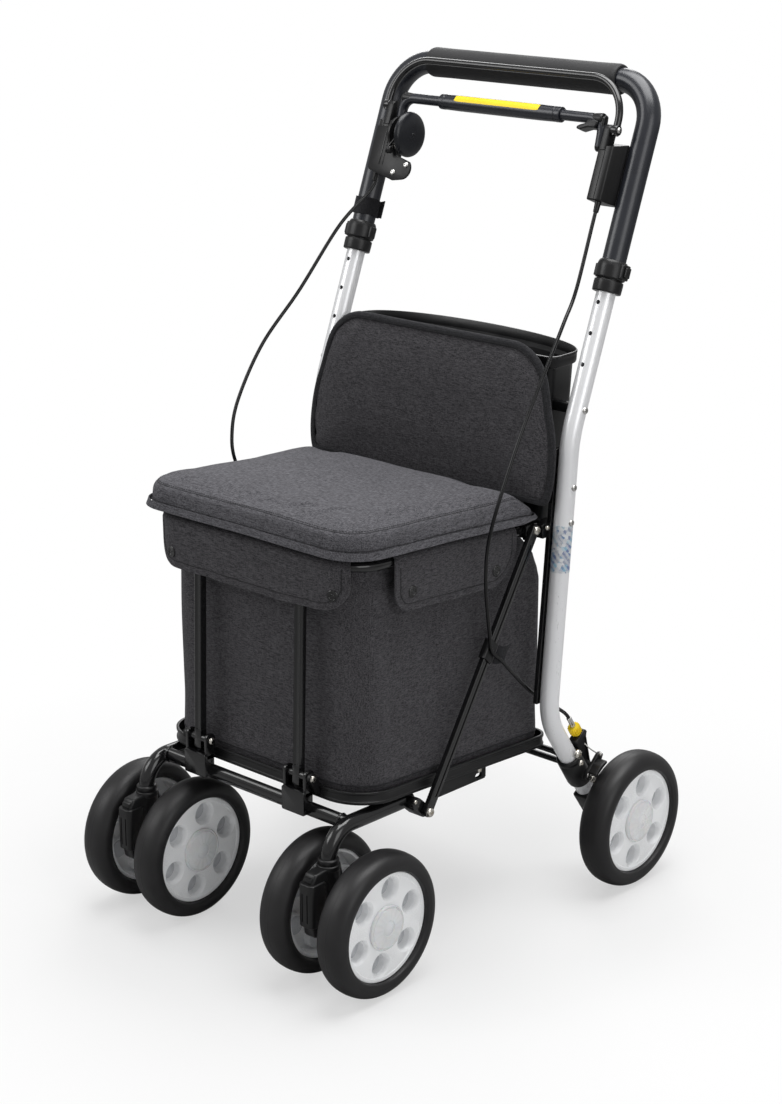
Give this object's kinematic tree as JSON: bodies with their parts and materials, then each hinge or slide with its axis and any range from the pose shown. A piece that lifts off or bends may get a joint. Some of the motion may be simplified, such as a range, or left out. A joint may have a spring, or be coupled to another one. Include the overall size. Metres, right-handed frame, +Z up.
{
  "type": "shopping rollator",
  "caption": "Folding shopping rollator with a padded lift-up seat, backrest, fabric bag, rear bin, twin front casters and a push handle with brake bar.",
  "frame": {"origin": "on the floor, midway between the front and rear axles and between the sides", "axes": "+X to the side with the cable strap, -Y to the front casters, +Y to the handle, +Z up"},
  "size_m": [0.496, 0.564, 0.9525],
  "materials": {
    "silver_tube": "satin anodised",
    "black_tube": "gloss black paint",
    "satin_handle": "satin blue-black",
    "grip_foam": "matte black foam",
    "black_plastic": "satin moulded black",
    "charcoal_cloth": "charcoal melange woven polyester",
    "tyre_rubber": "satin black",
    "hub_plastic": "silver-white moulding",
    "steel": "zinc plated",
    "yellow_plastic": "golden yellow"
  },
  "bodies": {
    "rear_frame": {"rear_tube_left": "silver_tube", "rear_tube_right": "silver_tube", "upright_left": "black_tube", "upright_right": "black_tube", "axle_fitting_left": "black_plastic", "axle_fitting_right": "black_plastic", "rear_stay": "black_tube", "backrest": "charcoal_cloth", "rear_bin": "black_plastic", "brake_cable_left": "black_plastic", "brake_cable_right": "black_plastic"},
    "handle": {"handle_tube": "satin_handle", "grip_sleeve": "grip_foam", "collar_left": "black_plastic", "collar_right": "black_plastic", "housing_left": "black_plastic", "housing_right": "black_plastic", "bell_bracket": "black_plastic", "bell_dome": "black_tube", "tube_strap": "grip_foam"},
    "brake_loop": {"brake_loop": "black_tube"},
    "parking_bar": {"parking_bar": "black_plastic", "parking_sleeve": "black_plastic"},
    "bell_lever": {"bell_lever": "black_plastic"},
    "front_frame": {"leg_frame": "black_tube", "strut_left": "black_tube", "strut_right": "black_tube", "bag_ring": "black_tube", "front_bar_left": "black_tube", "front_bar_right": "black_tube", "bag": "charcoal_cloth", "flap_front": "charcoal_cloth", "flap_left": "charcoal_cloth", "flap_right": "charcoal_cloth", "cable_strap": "grip_foam"},
    "tray": {"tray": "black_plastic"},
    "seat": {"seat_board": "black_plastic", "seat_cushion": "charcoal_cloth"},
    "height_button_left": {"height_button_left": "black_plastic"},
    "brake_arm_left": {"brake_arm_left": "black_plastic"},
    "cable_adjuster_left": {"cable_adjuster_left": "yellow_plastic"},
    "rear_wheel_left": {"rear_tyre_left": "tyre_rubber", "rear_hub_left": "hub_plastic"},
    "caster_left": {"caster_fork_left": "black_plastic", "caster_axle_left": "steel"},
    "front_wheel_left_inner": {"front_tyre_left_inner": "tyre_rubber", "front_hub_left_inner": "hub_plastic"},
    "front_wheel_left_outer": {"front_tyre_left_outer": "tyre_rubber", "front_hub_left_outer": "hub_plastic"},
    "height_button_right": {"height_button_right": "black_plastic"},
    "brake_arm_right": {"brake_arm_right": "black_plastic"},
    "cable_adjuster_right": {"cable_adjuster_right": "yellow_plastic"},
    "rear_wheel_right": {"rear_tyre_right": "tyre_rubber", "rear_hub_right": "hub_plastic"},
    "caster_right": {"caster_fork_right": "black_plastic", "caster_axle_right": "steel"},
    "front_wheel_right_inner": {"front_tyre_right_inner": "tyre_rubber", "front_hub_right_inner": "hub_plastic"},
    "front_wheel_right_outer": {"front_tyre_right_outer": "tyre_rubber", "front_hub_right_outer": "hub_plastic"}
  },
  "joints": [
    {"name": "handle_slide", "type": "slide", "parent": "rear_frame", "child": "handle", "axis": [0, 0.3584, 0.9336], "range_m": [-0.1065, 0.0355], "deforming": ["brake_cable_left", "brake_cable_right"]},
    {"name": "brake_pull", "type": "hinge", "parent": "handle", "child": "brake_loop", "pos_m": [0, 0.21374, 0.88652], "axis": [-1, 0, 0], "range_deg": [0, 6], "stiffness_Nm_per_rad": 4, "springref_deg": -5.73},
    {"name": "parking_set", "type": "hinge", "parent": "handle", "child": "parking_bar", "pos_m": [0, 0.21254, 0.86663], "axis": [1, 0, 0], "range_deg": [0, 35]},
    {"name": "bell_thumb", "type": "hinge", "parent": "handle", "child": "bell_lever", "pos_m": [-0.137, 0.20279, 0.85602], "axis": [-1, 0, 0], "range_deg": [0, 20], "stiffness_Nm_per_rad": 0.02, "springref_deg": -17.19},
    {"name": "frame_fold", "type": "hinge", "parent": "rear_frame", "child": "front_frame", "pos_m": [0, 0.0837, 0.456], "axis": [1, 0, 0], "range_deg": [0, 31], "deforming": ["brake_cable_left", "brake_cable_right", "bag"]},
    {"name": "tray_fold", "type": "hinge", "parent": "front_frame", "child": "tray", "pos_m": [0, -0.2063, 0.228], "axis": [1, 0, 0], "range_deg": [0, 34.1], "deforming": ["bag"]},
    {"name": "seat_lift", "type": "hinge", "parent": "front_frame", "child": "seat", "pos_m": [0, 0.0757, 0.497], "axis": [-1, 0, 0], "range_deg": [0, 75]},
    {"name": "button_press_left", "type": "slide", "parent": "handle", "child": "height_button_left", "axis": [1, 0, 0], "range_m": [0, 0.0027], "stiffness_N_per_m": 300, "springref_m": -0.002},
    {"name": "brake_arm_turn_left", "type": "hinge", "parent": "rear_frame", "child": "brake_arm_left", "pos_m": [-0.205, 0.1458, 0.1485], "axis": [-1, 0, 0], "range_deg": [0, 6.2]},
    {"name": "adjuster_turn_left", "type": "hinge", "parent": "rear_frame", "child": "cable_adjuster_left", "pos_m": [-0.188, 0.14187, 0.20205], "axis": [0, 0.5592, -0.829], "range_deg": [-180, 180]},
    {"name": "rear_spin_left", "type": "hinge", "parent": "rear_frame", "child": "rear_wheel_left", "pos_m": [-0.2285, 0.2003, 0.0825], "axis": [1, 0, 0], "continuous": true},
    {"name": "caster_swivel_left", "type": "hinge", "parent": "front_frame", "child": "caster_left", "pos_m": [-0.1435, -0.2303, 0.12], "axis": [0, 0, 1], "continuous": true},
    {"name": "front_spin_left_inner", "type": "hinge", "parent": "caster_left", "child": "front_wheel_left_inner", "pos_m": [-0.1009, -0.2003, 0.0825], "axis": [1, 0, 0], "continuous": true},
    {"name": "front_spin_left_outer", "type": "hinge", "parent": "caster_left", "child": "front_wheel_left_outer", "pos_m": [-0.1861, -0.2003, 0.0825], "axis": [1, 0, 0], "continuous": true},
    {"name": "button_press_right", "type": "slide", "parent": "handle", "child": "height_button_right", "axis": [-1, 0, 0], "range_m": [0, 0.0027], "stiffness_N_per_m": 300, "springref_m": -0.002},
    {"name": "brake_arm_turn_right", "type": "hinge", "parent": "rear_frame", "child": "brake_arm_right", "pos_m": [0.205, 0.1458, 0.1485], "axis": [-1, 0, 0], "range_deg": [0, 6.2]},
    {"name": "adjuster_turn_right", "type": "hinge", "parent": "rear_frame", "child": "cable_adjuster_right", "pos_m": [0.188, 0.14187, 0.20205], "axis": [0, 0.5592, -0.829], "range_deg": [-180, 180]},
    {"name": "rear_spin_right", "type": "hinge", "parent": "rear_frame", "child": "rear_wheel_right", "pos_m": [0.2285, 0.2003, 0.0825], "axis": [1, 0, 0], "continuous": true},
    {"name": "caster_swivel_right", "type": "hinge", "parent": "front_frame", "child": "caster_right", "pos_m": [0.1435, -0.2303, 0.12], "axis": [0, 0, 1], "continuous": true},
    {"name": "front_spin_right_inner", "type": "hinge", "parent": "caster_right", "child": "front_wheel_right_inner", "pos_m": [0.1009, -0.2003, 0.0825], "axis": [1, 0, 0], "continuous": true},
    {"name": "front_spin_right_outer", "type": "hinge", "parent": "caster_right", "child": "front_wheel_right_outer", "pos_m": [0.1861, -0.2003, 0.0825], "axis": [1, 0, 0], "continuous": true}
  ],
  "couplings": [
    {"joint": "tray_fold", "follows": "frame_fold", "ratio": 1.094},
    {"joint": "brake_arm_turn_left", "follows": "brake_pull", "ratio": 1},
    {"joint": "brake_arm_turn_right", "follows": "brake_pull", "ratio": 1}
  ]
}
